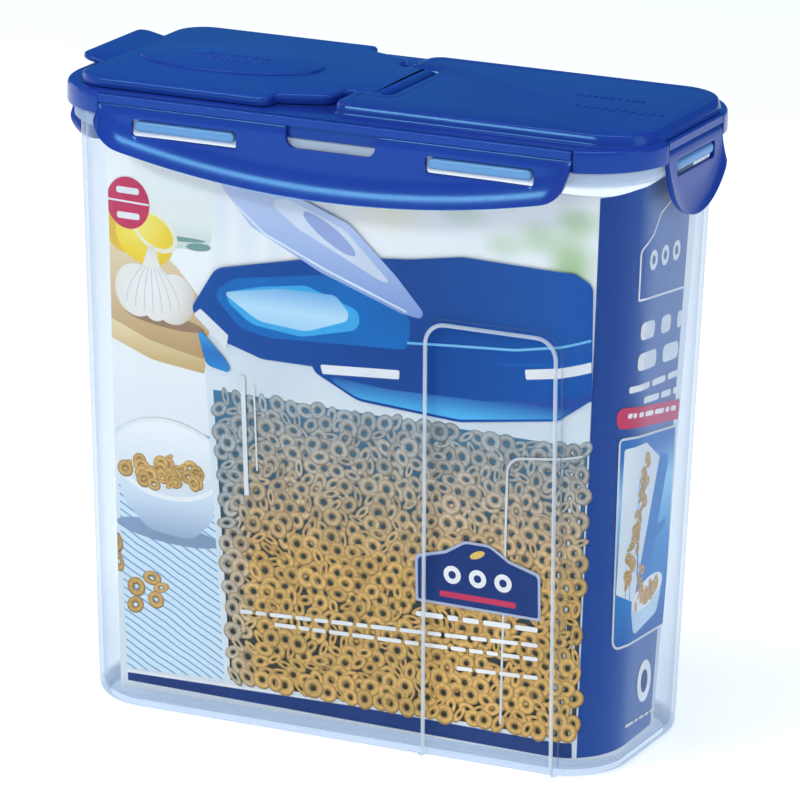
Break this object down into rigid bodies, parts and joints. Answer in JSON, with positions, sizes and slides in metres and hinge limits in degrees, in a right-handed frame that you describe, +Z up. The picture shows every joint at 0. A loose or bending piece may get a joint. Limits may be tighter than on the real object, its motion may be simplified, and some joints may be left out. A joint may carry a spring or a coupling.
{
  "type": "cereal dispenser",
  "caption": "Tall translucent dry-food tub with a blue lid, a flip-up pouring flap and swing-down latches on every side, with a printed card inside.",
  "frame": {"origin": "centre of the base, on the surface the tub stands on", "axes": "+Z up, +X along the length from the pouring end to the handle end, -Y out of the side with the long label panel"},
  "size_m": [0.236, 0.1162, 0.2381],
  "materials": {
    "tub_plastic": "translucent, satin",
    "lug_plastic": "translucent, satin",
    "lid_plastic": "semi-gloss, deep blue",
    "silicone": "soft, milky",
    "printed_card": "printed, laminated card"
  },
  "bodies": {
    "container": {"container": "tub_plastic", "label_card": "printed_card", "lock_lugs_front": "lug_plastic", "lock_lugs_rear": "lug_plastic", "lock_lugs_left": "lug_plastic", "lock_lugs_right": "lug_plastic"},
    "lid": {"lid_frame": "lid_plastic", "lid_gasket": "silicone"},
    "flap": {"flap": "lid_plastic", "flap_pins": "lid_plastic", "flap_seal": "silicone"},
    "strip_front": {"hinge_strip_front": "lid_plastic"},
    "latch_front": {"latch_front": "lid_plastic"},
    "strip_rear": {"hinge_strip_rear": "lid_plastic"},
    "latch_rear": {"latch_rear": "lid_plastic"},
    "strip_left": {"hinge_strip_left": "lid_plastic"},
    "latch_left": {"latch_left": "lid_plastic"},
    "strip_right": {"hinge_strip_right": "lid_plastic"},
    "latch_right": {"latch_right": "lid_plastic"}
  },
  "joints": [
    {"name": "lid_lift", "type": "slide", "parent": "container", "child": "lid", "axis": [0, 0, 1], "range_m": [0, 0.012]},
    {"name": "flap_hinge", "type": "hinge", "parent": "lid", "child": "flap", "pos_m": [0.0026, 0, 0.2332], "axis": [0, 1, 0], "range_deg": [0, 110]},
    {"name": "strip_front_hinge", "type": "hinge", "parent": "lid", "child": "strip_front", "pos_m": [0, -0.0532, 0.2309], "axis": [-1, 0, 0], "range_deg": [0, 66.5]},
    {"name": "latch_front_hinge", "type": "hinge", "parent": "strip_front", "child": "latch_front", "pos_m": [0, -0.0532, 0.2274], "axis": [-1, 0, 0], "range_deg": [0, 85]},
    {"name": "strip_rear_hinge", "type": "hinge", "parent": "lid", "child": "strip_rear", "pos_m": [0, 0.0532, 0.2309], "axis": [1, 0, 0], "range_deg": [0, 66.5]},
    {"name": "latch_rear_hinge", "type": "hinge", "parent": "strip_rear", "child": "latch_rear", "pos_m": [0, 0.0532, 0.2274], "axis": [1, 0, 0], "range_deg": [0, 85]},
    {"name": "strip_left_hinge", "type": "hinge", "parent": "lid", "child": "strip_left", "pos_m": [-0.1151, 0, 0.2309], "axis": [0, 1, 0], "range_deg": [0, 66.5]},
    {"name": "latch_left_hinge", "type": "hinge", "parent": "strip_left", "child": "latch_left", "pos_m": [-0.1151, 0, 0.2274], "axis": [0, 1, 0], "range_deg": [0, 85]},
    {"name": "strip_right_hinge", "type": "hinge", "parent": "lid", "child": "strip_right", "pos_m": [0.1151, 0, 0.2309], "axis": [0, -1, 0], "range_deg": [0, 66.5]},
    {"name": "latch_right_hinge", "type": "hinge", "parent": "strip_right", "child": "latch_right", "pos_m": [0.1151, 0, 0.2274], "axis": [0, -1, 0], "range_deg": [0, 85]}
  ],
  "couplings": [
    {"joint": "strip_front_hinge", "follows": "lid_lift", "rad_per_m": 95.993},
    {"joint": "strip_rear_hinge", "follows": "lid_lift", "rad_per_m": 95.993},
    {"joint": "strip_left_hinge", "follows": "lid_lift", "rad_per_m": 95.993},
    {"joint": "strip_right_hinge", "follows": "lid_lift", "rad_per_m": 95.993}
  ]
}
